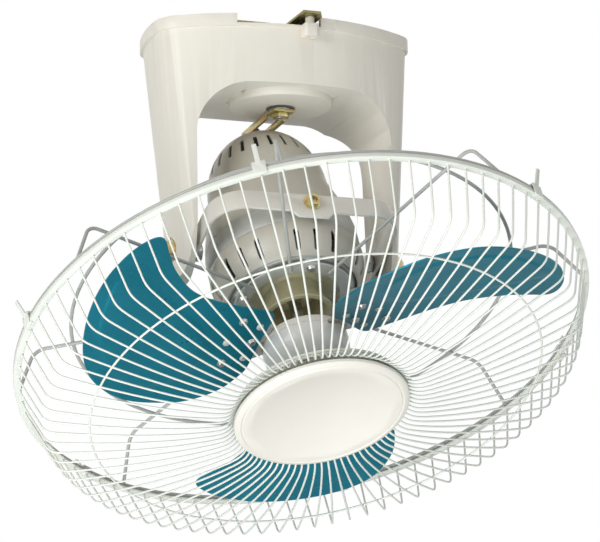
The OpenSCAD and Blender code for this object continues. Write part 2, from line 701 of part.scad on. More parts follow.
// The front cover curls in over the bell and has three slots in every sixth of a turn.
front_slot_w = 4;
front_slot_l = 17;
module front_outline(inset) {
    start = collar_w / 2 + 0.2;
    polygon([[0, start - (inset > 0 ? 1 : 0)], [motor_r - inset, start - (inset > 0 ? 1 : 0)],
        [motor_r + 0.4 - inset, start + 6], [motor_r - 0.6 - inset, motor_front - 14],
        [motor_r - 3 - inset, motor_front - 7], [motor_r - 6.5 - inset, motor_front - 1.5],
        [motor_r - 8 - inset, motor_front + (inset > 0 ? 1 : 0)], [0, motor_front + (inset > 0 ? 1 : 0)]]);
}
module motor_front_cover() {
    color(cream) along_fan() difference() {
        rotate_extrude($fn = 144) front_outline(0);
        rotate_extrude($fn = 144) front_outline(cover_t);
        around(6, 58) for (k = [1 : 3]) rotate([0, 0, k * vent_pitch])
            translate([motor_r - 14, 0, motor_front - 3 - front_slot_l / 2]) rotate([0, 90, 0])
                linear_extrude(height = 30) {
                    square([front_slot_l - front_slot_w, front_slot_w], center = true);
                    for (x = [-1, 1]) translate([x * (front_slot_l - front_slot_w) / 2, 0])
                        circle(d = front_slot_w, $fn = 12);
                }
        boss_ways();
    }
}
// The collar clamps the stator and carries the two bosses that turn on the ring's studs.
collar_boss_r = 7.5;
module pivot_collar() {
    color(cast) along_fan() difference() {
        union() {
            translate([0, 0, -collar_w / 2]) cylinder(r = motor_r, h = collar_w, $fn = 144);
            for (end = [-90, 90]) rotate([end, 0, 0]) cylinder(r = collar_boss_r, h = collar_boss_y);
        }
        translate([0, 0, -collar_w]) cylinder(d = stator_d, h = 2 * collar_w, $fn = 144);
        rotate([90, 0, 0]) cylinder(r = ring_stud_d / 2 + running_gap, h = far, center = true);
    }
}
bearing_r = 11;
bearing_h = 10;
rear_bearing_at = -stator_h / 2 - 22;
front_bearing_at = stator_h / 2 + 14;
shaft_r = motor_shaft_d / 2;
bracket_in_r = stator_d / 2 - 4.5;
winding_r = 4.5;
screw_circle = stator_d / 2 - 2.2;
screw_r = 1.3;
screw_seat = 5;
screw_bite = 10;
module rear_bracket() {
    top = -stator_h / 2;
    color(cast) along_fan() difference() {
        rotate_extrude($fn = 144) polygon([[stator_d / 2, top], [stator_d / 2, top - screw_seat],
            [bracket_in_r - 1.5, top - screw_seat], [bracket_in_r - 9, top - 18],
            [bearing_r + 3, rear_bearing_at - 1],
            [bearing_r + 3, rear_bearing_at - bearing_h - 3], [tail_pin_r, rear_bearing_at - bearing_h - 3],
            [tail_pin_r, rear_bearing_at - bearing_h], [bearing_r, rear_bearing_at - bearing_h],
            [bearing_r, rear_bearing_at + 1.5], [bracket_in_r - 11, top - 15],
            [bracket_in_r - 2, top - 4], [bracket_in_r, top - 1], [bracket_in_r, top]]);
        around(4, 45) translate([25, 0, top - 30]) cylinder(r = 6, h = 24);
        around(4, 70) translate([screw_circle, 0, top - 10]) cylinder(r = screw_r, h = 20, $fn = 24);
    }
}
// The bell closes the motor at the front. Its neck flares round the shaft.
bell_face = motor_front - 0.5;
module front_bell() {
    top = stator_h / 2;
    color(cast) along_fan() difference() {
        union() {
            rotate_extrude($fn = 144) polygon([[stator_d / 2, top], [stator_d / 2, bell_face - 4],
                [stator_d / 2 + 1, bell_face - 2.5], [stator_d / 2 - 1, bell_face],
                [stator_d / 2 - 12, bell_face - 1], [neck_r + 1, bell_face - 3.5],
                [neck_r - 2, bell_face - 1], [neck_r - 1.5, neck_end - 12], [neck_r + 2, neck_end - 4],
                [neck_r + 4, neck_end - 1], [neck_r + 4, neck_end], [neck_r, neck_end],
                [neck_r - 1.5, neck_end - 3], [neck_r - 4.5, neck_end - 11],
                [neck_r - 5, bell_face - 1], [bearing_r + 2.5, bell_face + 3],
                [bearing_r + 2.5, front_bearing_at + bearing_h + 1.5],
                [shaft_r + 1, front_bearing_at + bearing_h + 1.5],
                [shaft_r + 1, front_bearing_at + bearing_h], [bearing_r, front_bearing_at + bearing_h],
                [bearing_r, front_bearing_at], [bearing_r + 4, front_bearing_at],
                [neck_r, bell_face - 6.5], [bracket_in_r, bell_face - 5], [bracket_in_r, top]]);
            around(4) translate([bell_lug_at, 0, bell_face - 4]) cylinder(r = 6, h = bell_lug_top - bell_face + 4);
        }
        around(4) translate([bell_lug_at, 0, bell_face - 3]) cylinder(r = 2, h = 30, $fn = 36);
        around(4, 45) translate([bell_lug_at - 3, 0, bell_face - 8]) cylinder(r = 2.4, h = 10, $fn = 36);
        around(4, 70) translate([screw_circle, 0, 0]) cylinder(r = screw_r, h = top + screw_bite, $fn = 24);
    }
}
module stator_core() {
    color("#7F8488") along_fan() difference() {
        translate([0, 0, -stator_h / 2]) ring_of(stator_d / 2, rotor_d / 2 + air_gap, stator_h);
        around(4, 70) translate([screw_circle, 0, 0]) cylinder(r = screw_r, h = far, center = true, $fn = 24);
    }
}
module stator_windings() {
    r = bracket_in_r - 1 - winding_r;
    color("#A5602F") along_fan() for (end = [0, 180]) rotate([end, 0, 0])
        translate([0, 0, stator_h / 2]) rotate_extrude($fn = 96) translate([r, 0])
            intersection() {
                circle(r = winding_r, $fn = 48);
                translate([-winding_r, 0]) square(2 * winding_r);
            }
}
module motor_bearings() {
    color(steel) along_fan() for (z = [rear_bearing_at - bearing_h, front_bearing_at])
        translate([0, 0, z]) ring_of(bearing_r, shaft_r + running_gap, bearing_h);
}
module motor_screws() {
    seat = stator_h / 2 + screw_seat;
    color(zinc) along_fan() around(4, 70) translate([screw_circle, 0, -seat]) {
        cylinder(r = screw_r, h = seat + stator_h / 2 + screw_bite - 0.5, $fn = 24);
        translate([0, 0, -2.5]) hex(5, 2.5);
    }
}
// The tail pin stands in the rear bracket and comes out through the end of the cover.
tail_pin_r = 2.5;
module tail_pin() {
    color(steel) along_fan() translate([0, 0, -tail_reach])
        cylinder(r = tail_pin_r, h = tail_reach + rear_bearing_at - bearing_h - 0.5);
}
module tail_nut() {
    color(zinc) along_fan() translate([0, 0, -motor_rear + cover_t]) difference() {
        hex(10, 4);
        translate([0, 0, -1]) cylinder(r = tail_pin_r, h = 6);
    }
}

// Rear guard. A round plate on the bell, straight struts, one ring and the rear rim wire.
plate_t = 2;
bell_lug_at = stator_d / 2 - 7;
bell_lug_top = strut_root_ahead - strut_d / 2 - plate_t + 0.1;
plate_half = 5.5;
plate_r = bell_lug_at + plate_half;
strut_root_r = plate_r - 6;
strut_turn = 22.5;
module guard_plate() {
    color(cast) along_fan() translate([0, 0, bell_lug_top]) difference() {
        cylinder(r = plate_r, h = plate_t, $fn = 144);
        translate([0, 0, -1]) cylinder(r = bell_lug_at - plate_half, h = plate_t + 2, $fn = 144);
        around(4) translate([bell_lug_at, 0, -1]) cylinder(r = 2, h = plate_t + 2, $fn = 36);
    }
}
module guard_screws() {
    color(zinc) along_fan() around(4) translate([bell_lug_at, 0, bell_face - 2]) {
        cylinder(r = 2, h = bell_lug_top + plate_t - bell_face + 2, $fn = 36);
        translate([0, 0, bell_lug_top + plate_t - bell_face + 2]) cylinder(r1 = 4, r2 = 3, h = 2.4, $fn = 36);
    }
}
rear_rim_r = rim_out - rear_rim_d / 2 - 0.4;
rear_rim_at = rim_ahead - rear_rim_d / 2;
strut_bend_r = 14;
module rear_struts() {
    root = [strut_root_r, strut_root_ahead];
    bend = [strut_bend_at, strut_bend_ahead];
    rim = [rear_rim_r, rear_rim_at];
    tip = rim + (rear_rim_d / 2 - weld) * (bend - rim) / norm(bend - rim);
    color(wire_white) along_fan() spread_wires(
        concat([root], rounded_corner(root, bend, tip, strut_bend_r, 5), [tip]),
        strut_d, 8, strut_count, strut_turn);
}
// Welded wires share a tenth of a millimetre or two where they cross.
weld = 0.3;
strut_slope = (strut_bend_ahead - strut_root_ahead) / (strut_bend_at - strut_root_r);
module rear_ring() {
    crossing = strut_root_ahead + strut_slope * (rear_ring_r - strut_root_r);
    color(wire_white) along_fan() translate([0, 0, crossing - strut_d + weld])
        hoop(rear_ring_r, strut_d);
}
module rear_rim() {
    color(wire_white) along_fan() translate([0, 0, rear_rim_at]) hoop(rear_rim_r, rear_rim_d);
}

// Front guard. The wires follow one curve from under the cap, round the outer bend and back.
rim_face = 3.8;
module front_rim() {
    color(wire_white) at_rim() rotate_extrude($fn = 180) polygon([
        [rim_in, rim_face - rim_t], [rim_in, rim_face], [rim_out, rim_face], [rim_out, 0.2],
        [rim_out - 1.4, 0.2], [rim_out - 1.4, rim_face - rim_t]]);
}
wire_from = 78;
wire_turn = 2.45;
bend_out = rim_in - 14.5;
wall_out = rim_in - 8;
cap_under = wire_top + 2.1 - cap_edge;
wire_foot = [cap_r - 4.5, cap_under - 8.5];
function face_height(r) = wire_top - wire_fall * pow(max(0, r - wire_from) / (bend_out - wire_from), 1.5);
function wire_path() = concat(
    [wire_foot, [cap_r + 2.2, cap_under - wire_d / 2 - 0.3], [wire_from, wire_top]],
    [for (i = [1 : 4]) let (r = wire_from + (bend_out - wire_from) * [0.28, 0.56, 0.8, 0.94][i - 1])
        [r, face_height(r)]],
    [[bend_out + 0.5, face_height(bend_out) - 0.8], [wall_out - 1.7, face_height(bend_out) - 5],
        [wall_out, face_height(bend_out) - 10], [rim_in + 2, rim_face - weld / 3]]);
module front_wires() {
    color(wire_white) at_rim() spread_wires(wire_path(), wire_d, 4, wire_count, wire_turn);
}
cap_ring_d = wire_d + 0.4;
cap_ring_at = wire_foot[1] - 0.5;
cap_ring_r = wire_foot[0] - 0.5;
module front_ring() {
    color(wire_white) at_rim() translate([0, 0, face_height(front_ring_r) - wire_d + weld])
        hoop(front_ring_r, wire_d);
}
module cap_ring() {
    color(wire_white) at_rim() translate([0, 0, cap_ring_at]) hoop(cap_ring_r, cap_ring_d);
}
// The bare cap has a raised border, a groove and a lower field in the middle.
module guard_cap() {
    top = wire_top + 2.1;
    color("#EAE3D3") at_rim() rotate_extrude($fn = 144) polygon([
        [0, top - 3.2], [0, top - 0.9], [cap_r - 15.5, top - 0.9], [cap_r - 14, top],
        [cap_r - 6.6, top], [cap_r - 5.6, top - 0.8], [cap_r - 4.6, top - 0.1],
        [cap_r - 2, top - 0.6], [cap_r - 0.4, top - 2], [cap_r, top - cap_edge],
        [cap_r - 1.8, top - cap_edge], [cap_r - 3, top - 2.8]]);
}
backing_r = cap_r - 7.5;
backing_at = cap_ring_at - cap_ring_d / 2 - 1.7;
backing_screw_at = backing_r - 14;
module cap_backing() {
    color(cream) at_rim() translate([0, 0, backing_at]) difference() {
        union() {
            cylinder(r = backing_r + 4.5, h = 1.6);
            cylinder(r = backing_r, h = 4);
            around(3) translate([backing_screw_at, 0, 0]) cylinder(r = 5, h = wire_top - 1.1 - backing_at);
        }
        translate([0, 0, -1]) cylinder(r = backing_r - 22, h = 20);
        around(3) translate([backing_screw_at, 0, -1]) cylinder(r = 1.5, h = 20, $fn = 24);
    }
}
module cap_screws() {
    color(zinc) at_rim() around(3) translate([backing_screw_at, 0, backing_at]) {
        translate([0, 0, -2.2]) cylinder(r1 = 2.6, r2 = 3.4, h = 2.2, $fn = 36);
        cylinder(r = 1.5, h = 12, $fn = 24);
    }
}
// Each clip is a steel strip folded round both rims, with a narrow lever that stands out behind.
clip_t = 1.2;
clip_turn = 57;
clip_in = rim_in + 3.2;
lever_w = 3.5;
lever_l = 13;
module guard_clips() {
    out = rim_out + 0.1;
    low = -rear_rim_d - 0.5;
    top = rim_face + 0.1;
    color(wire_white) at_rim() around(clip_count, clip_turn) rotate([90, 0, 0]) {
        linear_extrude(height = clip_w, center = true) polygon([[clip_in, top], [out, top], [out, low],
            [out - 4, low], [out - 4, low - clip_t], [out + clip_t, low - clip_t],
            [out + clip_t, top + clip_t], [clip_in, top + clip_t]]);
        linear_extrude(height = lever_w, center = true) polygon([[out, low - clip_t / 2],
            [out + 5, low - lever_l], [out + 6.2, low - lever_l + 0.4], [out + clip_t, low + 0.4]]);
    }
}

// Rotor. Shaft, core, hub and blades turn together.
hub_boss_r = 9;
hub_boss_h = 14;
module motor_shaft() {
    tail_end = rear_bearing_at - bearing_h + 0.5;
    color(steel) along_fan() translate([0, 0, tail_end])
        cylinder(r = shaft_r, h = rim_ahead + hub_rear + 20 - tail_end);
}
module rotor_core() {
    color("#8A8F92") along_fan() translate([0, 0, -stator_h / 2 - 1]) difference() {
        cylinder(d = rotor_d, h = stator_h + 2);
        translate([0, 0, -1]) cylinder(r = shaft_r, h = stator_h + 4);
    }
}
// The hub's lower half is a bowl with a boss for the shaft, its upper half a thin dome.
hub_split = 8;
module blade_hub() {
    color(cream) at_rim() difference() {
        rotate_extrude($fn = 96) polygon([
            [shaft_r, hub_rear - 1], [shaft_r, hub_rear + hub_boss_h], [hub_boss_r, hub_rear + hub_boss_h],
            [hub_boss_r, hub_rear + hub_t], [hub_r - 4, hub_rear + hub_t], [hub_r - 3, hub_split],
            [hub_r, hub_split], [hub_r - 0.6, hub_rear], [hub_boss_r, hub_rear], [hub_boss_r, hub_rear - 1]]);
        around(blade_count, blade_turn) arm_plate(0);
    }
}
dome_rings = 10;
function dome_at(t, shrink) = [(hub_r - shrink) * cos(t), hub_split + 4 + (hub_top - hub_split - 4 - shrink) * sin(t)];
module hub_dome() {
    low = hub_split + 0.3;
    color("#DDDAD2") at_rim() difference() {
        rotate_extrude($fn = 96) polygon(concat([[hub_r, low]],
            [for (i = [0 : dome_rings - 1]) dome_at(90 * i / dome_rings, 0)], [[0, hub_top], [0, hub_top - hub_t]],
            [for (i = [dome_rings - 1 : -1 : 0]) dome_at(90 * i / dome_rings, hub_t)],
            [[hub_r - hub_t, low]]));
        around(blade_count, blade_turn) arm_gap();
    }
}
module hub_nut() {
    color(zinc) at_rim() translate([0, 0, hub_rear + hub_boss_h]) difference() {
        hex(motor_shaft_d + 6, 5);
        translate([0, 0, -1]) cylinder(r = shaft_r, h = 7);
    }
}

// Blades. Every blade is a plate on one helical surface, cut to a sickle outline. The outline
// is a middle line and a half width, both in degrees, set at seven radii from root to tip.
blade_turn = 46.2;
blade_seat = 3.5;
blade_mid = [3, 11.6, 12.9, 10, 4.9, -3, -15];
blade_half = [36, 34.3, 30, 25.8, 23.4, 20.4, 19];
root_round = 0.08;
tip_round = 0.22;
span_steps = 18;
chord_marks = [-1, -0.84, -0.62, -0.4, -0.24, -0.15, -0.08, -0.01, 0.08, 0.24, 0.46, 0.72, 0.88, 1];
// A smooth curve through evenly spaced values.
function smooth_value(v, t) = let (n = len(v) - 1, x = min(n - 1e-6, max(0, t * n)), i = floor(x), f = x - i,
    a = v[max(i - 1, 0)], b = v[i], c = v[i + 1], d = v[min(i + 2, n)])
    b + 0.5 * f * (c - a + f * (2 * a - 5 * b + 4 * c - d + f * (3 * (b - c) + d - a)));
function end_round(t) = t < root_round ? sqrt(1 - pow((root_round - t) / root_round, 2))
    : t > 1 - tip_round ? sqrt(1 - pow((t - 1 + tip_round) / tip_round, 2)) : 1;
function span_at(i) = 0.002 + 0.996 * (1 - cos(180 * i / span_steps)) / 2;
function chord_angle(t, v) = smooth_value(blade_mid, t) + v * smooth_value(blade_half, t) * end_round(t);
function blade_height(r, turn) = blade_seat + r * tan(blade_lean) + tan(blade_pitch) * r * turn * PI / 180;
// The rib is a shallow ridge that runs out before the tip and the root.
function rib_rise(t, v) = rib_h * max(0, 1 - pow((v + 0.08) / 0.16, 2)) * max(0, 1 - pow((t - 0.56) / 0.32, 4));
function blade_point(i, v, lower) = let (t = span_at(i), r = blade_root_r + (blade_tip_r - blade_root_r) * t,
    turn = chord_angle(t, v)) [r * cos(turn), r * sin(turn), blade_height(r, turn) + rib_rise(t, v) - lower];
// A closed plate between an upper and a lower grid of the same rows and columns.
function plate_faces(rows, cols) = let (low = rows * cols) concat(
    [for (i = [0 : rows - 2], j = [0 : cols - 2]) let (a = i * cols + j)
        each [[a, a + 1, a + cols + 1], [a, a + cols + 1, a + cols],
            [low + a, low + a + cols + 1, low + a + 1], [low + a, low + a + cols, low + a + cols + 1]]],
    [for (j = [0 : cols - 2], end = [0, 1]) let (a = end * (rows - 1) * cols + j)
        each (end == 0 ? [[a + 1, a, low + a], [a + 1, low + a, low + a + 1]]
            : [[a, a + 1, low + a + 1], [a, low + a + 1, low + a]])],
    [for (i = [0 : rows - 2], edge = [0, 1]) let (a = i * cols + edge * (cols - 1))
        each (edge == 0 ? [[a, a + cols, low + a + cols], [a, low + a + cols, low + a]]
            : [[a + cols, a, low + a], [a + cols, low + a, low + a + cols]])]);
module blade_skin() {
    polyhedron(points = concat(
        [for (i = [0 : span_steps], v = chord_marks) blade_point(i, v, 0)],
        [for (i = [0 : span_steps], v = chord_marks) blade_point(i, v, blade_t)]),
        faces = plate_faces(span_steps + 1, len(chord_marks)), convexity = 6);
}
// Places on a blade, as radius and turn from its middle line.
rivet_places = [[[66.6, 7.8], [48.8, 25.5], [46.9, -11.1]], [[66.2, 25], [45.4, 7.6], [64.1, -10.8]]];
function at_place(p) = [p[0] * cos(p[1]), p[0] * sin(p[1]), blade_height(p[0], p[1])];
module on_blade(p) {
    rise = atan(tan(blade_lean) + tan(blade_pitch) * p[1] * PI / 180);
    translate(at_place(p)) rotate([0, 0, p[1]]) rotate([blade_pitch, -rise, 0]) children();
}
rivet_r = 1.6;
module rivet_way() { cylinder(r = rivet_r, h = 16, center = true, $fn = 24); }
module blade_with_holes() {
    difference() {
        blade_skin();
        for (p = concat(rivet_places[0], rivet_places[1])) on_blade(p)
            rivet_way();
    }
}
module one_blade(k) {
    color(teal) at_rim() rotate([0, 0, blade_turn + 360 * k / blade_count]) blade_with_holes();
}
module blade_1() { one_blade(0); }
module blade_2() { one_blade(1); }
module blade_3() { one_blade(2); }

// The arms lie under the blades on the same helical surface and run into the hub.
arm_t = 2;
arm_gap_t = 0.05;
arm_in_r = hub_r - 3.6;
arm_out_r = 72;
arm_turn = [-17, 32];
arm_rows = 5;
arm_cols = 5;
function arm_point(i, j, lower) = let (r = arm_in_r + (arm_out_r - arm_in_r) * i / (arm_rows - 1),
    wide = 0.62 + 0.38 * sin(90 * min(1, (arm_out_r - r) / 14)),
    mid = (arm_turn[0] + arm_turn[1]) / 2, half = (arm_turn[1] - arm_turn[0]) / 2,
    turn = mid + half * wide * (2 * j / (arm_cols - 1) - 1))
    [r * cos(turn), r * sin(turn), blade_height(r, turn) - blade_t - arm_gap_t - lower];
module arm_plate(extra) {
    polyhedron(points = concat(
        [for (i = [0 : arm_rows - 1], j = [0 : arm_cols - 1]) arm_point(i, j, -extra)],
        [for (i = [0 : arm_rows - 1], j = [0 : arm_cols - 1]) arm_point(i, j, arm_t + extra)]),
        faces = plate_faces(arm_rows, arm_cols), convexity = 4);
}
module arm_gap() { arm_plate(0.4); }
module blade_arms() {
    color(steel) at_rim() around(blade_count, blade_turn) difference() {
        arm_plate(0);
        for (p = concat(rivet_places[0], rivet_places[1])) on_blade(p)
            rivet_way();
    }
}
head_lift = 0.15;
module fastener(head_r, head_h) {
    depth = blade_t + arm_t + arm_gap_t + 0.4;
    translate([0, 0, -depth]) cylinder(r = rivet_r, h = depth + head_lift, $fn = 24);
    translate([0, 0, head_lift]) cylinder(r1 = head_r, r2 = 0.6 * head_r, h = head_h, $fn = 36);
    translate([0, 0, -depth - 1]) cylinder(r = rivet_r + 1, h = 1, $fn = 24);
}
module blade_rivets() {
    color("#E8EAE8") at_rim() around(blade_count, blade_turn) for (p = rivet_places[0]) on_blade(p)
        fastener(3.2, 1.6);
}
module blade_screws() {
    color(steel) at_rim() around(blade_count, blade_turn) for (p = rivet_places[1]) on_blade(p)
        fastener(3.8, 2.2);
}

ceiling_bracket();
housing();
lock_lug();
orbit_gearbox();
orbit_motor();
gearbox_screws();
terminal_block();
soffit_bush();
leg_bolts();
leg_nuts();
orbit_shaft();
crank_fork();
crank_washer();
crank_nut();
tail_socket();
fork_pin();
gimbal_ring();
leg_bushes();
ring_studs();
ring_nuts();
motor_rear_cover();
motor_front_cover();
pivot_collar();
rear_bracket();
front_bell();
stator_core();
stator_windings();
motor_bearings();
motor_screws();
tail_pin();
tail_nut();
guard_plate();
guard_screws();
rear_struts();
rear_ring();
rear_rim();
front_rim();
front_wires();
front_ring();
cap_ring();
guard_cap();
cap_backing();
cap_screws();
guard_clips();
motor_shaft();
rotor_core();
blade_hub();
hub_dome();
hub_nut();
blade_arms();
blade_1();
blade_2();
blade_3();
blade_screws();
blade_rivets();
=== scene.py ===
# %% [markdown]
# # A ceiling orbit fan
# The solids of the fan are already built to size. They are loaded here as a frame that stays
# where it is, and this lesson gives them their looks: rounded mouldings, bent wire, pressed
# blades, enamel, zinc and steel. First the frame is loaded.

# %% Load the frame
import json
import math

import bpy
from mathutils import Matrix, Vector

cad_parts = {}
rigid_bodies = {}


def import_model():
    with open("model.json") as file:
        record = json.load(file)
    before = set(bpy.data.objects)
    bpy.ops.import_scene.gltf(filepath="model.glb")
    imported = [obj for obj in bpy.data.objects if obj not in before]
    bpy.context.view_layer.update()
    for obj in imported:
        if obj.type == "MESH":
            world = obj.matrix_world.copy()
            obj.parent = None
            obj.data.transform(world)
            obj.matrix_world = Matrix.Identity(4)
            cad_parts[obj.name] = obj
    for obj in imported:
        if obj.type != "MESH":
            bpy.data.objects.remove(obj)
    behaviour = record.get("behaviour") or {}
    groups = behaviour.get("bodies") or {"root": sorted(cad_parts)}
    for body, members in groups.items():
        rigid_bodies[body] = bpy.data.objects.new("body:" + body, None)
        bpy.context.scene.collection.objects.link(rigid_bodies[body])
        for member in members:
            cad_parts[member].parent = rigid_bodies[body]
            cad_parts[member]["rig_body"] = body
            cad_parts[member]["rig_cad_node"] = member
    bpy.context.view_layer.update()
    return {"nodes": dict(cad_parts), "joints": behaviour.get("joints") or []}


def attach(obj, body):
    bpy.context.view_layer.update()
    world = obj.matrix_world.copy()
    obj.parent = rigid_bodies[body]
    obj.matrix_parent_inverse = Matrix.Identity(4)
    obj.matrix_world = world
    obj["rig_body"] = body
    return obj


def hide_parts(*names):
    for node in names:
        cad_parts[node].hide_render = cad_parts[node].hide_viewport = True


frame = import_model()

joints = {joint["name"]: joint for joint in frame["joints"]}

# %% [markdown]
# Two places matter to almost every piece: the gimbal's centre, where both tilt axes cross,
# and the line on which the motor, the blades and the guard sit. Both are read from the
# joints, so a piece of the fan can be modelled upright, with +Z along the air stream and
# lengths in millimetres, and is then carried to its leaning place by one matrix.

# %% The fan's own axes
MM = 0.001
gimbal_centre = Vector(joints["ring_tilt"]["pos_m"])
air_stream = Vector(joints["rotor_spin"]["axis"]).normalized()
fan_up = -Vector(joints["head_tilt"]["axis"]).normalized()
fan_side = fan_up.cross(air_stream)
along_fan = Matrix.Translation(gimbal_centre) @ Matrix(
    (fan_side, fan_up, air_stream)).transposed().to_4x4()
in_mm = Matrix.Scale(MM, 4)
RIM_AHEAD = 75.0
at_rim = along_fan @ Matrix.Translation((0, 0, RIM_AHEAD * MM))
print("gimbal centre", tuple(round(v, 4) for v in gimbal_centre))

# %% [markdown]
# The photographer stood low and to the left with a long lens, so the camera looks up at the
# fan from two and a half metres. The three angles are its turn to the right, its upward
# pitch and a slight roll, and the lens is given as the picture's width would need it.

# %% Camera
CAMERA_FROM_CENTRE = Vector((-896.4, -2345.6, -580.2)) * MM
CAMERA_TURN, CAMERA_PITCH, CAMERA_ROLL = -0.37, 0.2232, -0.021
FOCAL_PIXELS, PICTURE_WIDTH, SENSOR = 3383.0, 600, 36.0

bpy.ops.object.camera_add()
camera = bpy.context.object
camera.matrix_world = (
    Matrix.Translation(gimbal_centre + CAMERA_FROM_CENTRE)
    @ Matrix.Rotation(CAMERA_TURN, 4, "Z")
    @ Matrix.Rotation(math.pi / 2 + CAMERA_PITCH, 4, "X")
    @ Matrix.Rotation(CAMERA_ROLL, 4, "Z"))
camera.data.sensor_width = SENSOR
camera.data.lens = FOCAL_PIXELS * SENSOR / PICTURE_WIDTH
camera.data.clip_end = 20
bpy.context.scene.camera = camera
bpy.context.scene.view_settings.view_transform = "Standard"
print("lens", round(camera.data.lens, 1))

# %% [markdown]
# The studio is plain: a pale floor a good way below the fan, a white surround, and soft
# lamps. The surround is pure white where the camera or a reflection looks at it, and dimmer
# where it lights the fan, so that cream and white enamel keep their colour.

# %% Floor and surround
FLOOR_BELOW = 2.5
FLOOR_SIZE = 60.0
FLOOR_GLOW = 0.5
FLOOR_COLOUR, FLOOR_ROUGHNESS = (0.86, 0.86, 0.85, 1.0), 0.8
WHITE = (1.0, 1.0, 1.0, 1.0)
SURROUND_LIGHT, SURROUND_SEEN = 0.38, 1.0

bpy.ops.object.select_all(action="DESELECT")
bpy.ops.mesh.primitive_plane_add(size=FLOOR_SIZE, location=(0, 0, -FLOOR_BELOW))
floor = bpy.context.object
floor.name = "studio_floor"
floor_paint = bpy.data.materials.new("floor_paint")
floor_paint.use_nodes = True
floor_shader = floor_paint.node_tree.nodes["Principled BSDF"]
floor_shader.inputs["Base Color"].default_value = FLOOR_COLOUR
floor_shader.inputs["Roughness"].default_value = FLOOR_ROUGHNESS
floor_shader.inputs["Emission Color"].default_value = WHITE
floor_rays = floor_paint.node_tree.nodes.new("ShaderNodeLightPath")
floor_glow = floor_paint.node_tree.nodes.new("ShaderNodeMath")
floor_glow.operation = "MULTIPLY"
floor_glow.inputs[1].default_value = FLOOR_GLOW
floor_links = floor_paint.node_tree.links
floor_links.new(floor_rays.outputs["Is Camera Ray"], floor_glow.inputs[0])
floor_links.new(floor_glow.outputs[0], floor_shader.inputs["Emission Strength"])
floor.data.materials.append(floor_paint)

world = bpy.data.worlds.new("studio")
bpy.context.scene.world = world
world.use_nodes = True
nodes, links = world.node_tree.nodes, world.node_tree.links
nodes.clear()
rays = nodes.new("ShaderNodeLightPath")
seen = nodes.new("ShaderNodeMath")
seen.operation = "MAXIMUM"
links.new(rays.outputs["Is Camera Ray"], seen.inputs[0])
links.new(rays.outputs["Is Glossy Ray"], seen.inputs[1])
glow = nodes.new("ShaderNodeBackground")
glow.inputs["Color"].default_value = WHITE
glow.inputs["Strength"].default_value = SURROUND_LIGHT
backdrop = nodes.new("ShaderNodeBackground")
backdrop.inputs["Color"].default_value = WHITE
backdrop.inputs["Strength"].default_value = SURROUND_SEEN
pick = nodes.new("ShaderNodeMixShader")
links.new(seen.outputs[0], pick.inputs[0])
links.new(glow.outputs[0], pick.inputs[1])
links.new(backdrop.outputs[0], pick.inputs[2])
surface = nodes.new("ShaderNodeOutputWorld")
links.new(pick.outputs[0], surface.inputs[0])

# %% [markdown]
# Three large lamps do what softboxes would. The key stands at the left and in front, where
# the picture is brightest, a weaker one at the right keeps the far leg readable, and one
# below lights the underside of the arch and the blades.

# %% Lamps
LOW_LAMP_TINT = (0.93, 0.96, 1.0)


def softbox(name, place, size, power):
    bpy.ops.object.light_add(type="AREA", location=place)
    lamp = bpy.context.object
    lamp.name = name
    lamp.data.size = size
    lamp.data.energy = power
    aim = gimbal_centre - lamp.location
    lamp.rotation_euler = aim.to_track_quat("-Z", "Y").to_euler()
    return lamp


softbox("key_lamp", (-2.3, -1.4, 0.1), 1.2, 27)
softbox("fill_lamp", (1.4, -2.4, -0.5), 1.6, 5)
low_lamp = softbox("low_lamp", (-0.55, -0.85, -1.4), 1.2, 21)
low_lamp.data.color = LOW_LAMP_TINT

# %% [markdown]
# ## Working habits
# Every piece is picked, shaped and then put in place the same way, so the habits get names.
# `pick` makes one object the only one that is selected. `settle` carries a piece that was
# modelled in millimetres to its place and applies that, because a pattern that reads Object
# coordinates would slide if the object kept a turn or a scale of its own.

# %% Picking, placing and declaring a piece
MERGE_WITHIN = 1e-6


def pick(*objects):
    bpy.ops.object.select_all(action="DESELECT")
    for thing in objects:
        thing.select_set(True)
    bpy.context.view_layer.objects.active = objects[0]


def settle(piece, place):
    pick(piece)
    piece.matrix_world = place @ in_mm @ piece.matrix_world
    bpy.ops.object.transform_apply(location=True, rotation=True, scale=True)


def outward(piece):
    pick(piece)
    bpy.ops.object.mode_set(mode="EDIT")
    bpy.ops.mesh.select_all(action="SELECT")
    bpy.ops.mesh.remove_doubles(threshold=MERGE_WITHIN)
    bpy.ops.mesh.normals_make_consistent(inside=False)
    bpy.ops.object.mode_set(mode="OBJECT")


def round_off(piece, width, angle=40, segments=3, smooth=35):
    pick(piece)
    if width:
        bevel = piece.modifiers.new("rounded", "BEVEL")
        bevel.width = width
        bevel.segments = segments
        bevel.limit_method = "ANGLE"
        bevel.angle_limit = math.radians(angle)
        bevel.use_clamp_overlap = True
        bpy.ops.object.modifier_apply(modifier=bevel.name)
    bpy.ops.object.shade_smooth_by_angle(angle=math.radians(smooth))


def declare(piece, name, body, slot, finish, *stands_for):
    piece.name = name
    piece.data.name = name
    piece.data.materials.clear()
    piece.data.materials.append(finish)
    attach(piece, body)
    if stands_for:
        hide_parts(*stands_for)
    print(name, len(piece.data.polygons), "faces")
    return piece


# %% [markdown]
# ## Finishes
# Most finishes here are a colour that is not quite even, a gloss that is not quite even and
# a skin that is not quite flat. One helper builds that from three noises on Object
# coordinates. Sizes are given as the real size of a patch or a grain, in metres.

# %% A surface that is not quite even
COAT_ROUGHNESS = 0.12
TINT_SPAN, SHEEN_SPAN = (0.32, 0.68), (0.3, 0.7)
SMEAR_PER_PATCH = 2.3
BUMP_STRENGTH = 0.5


def node_of(material, kind):
    return next(n for n in material.node_tree.nodes if n.bl_idname == kind)


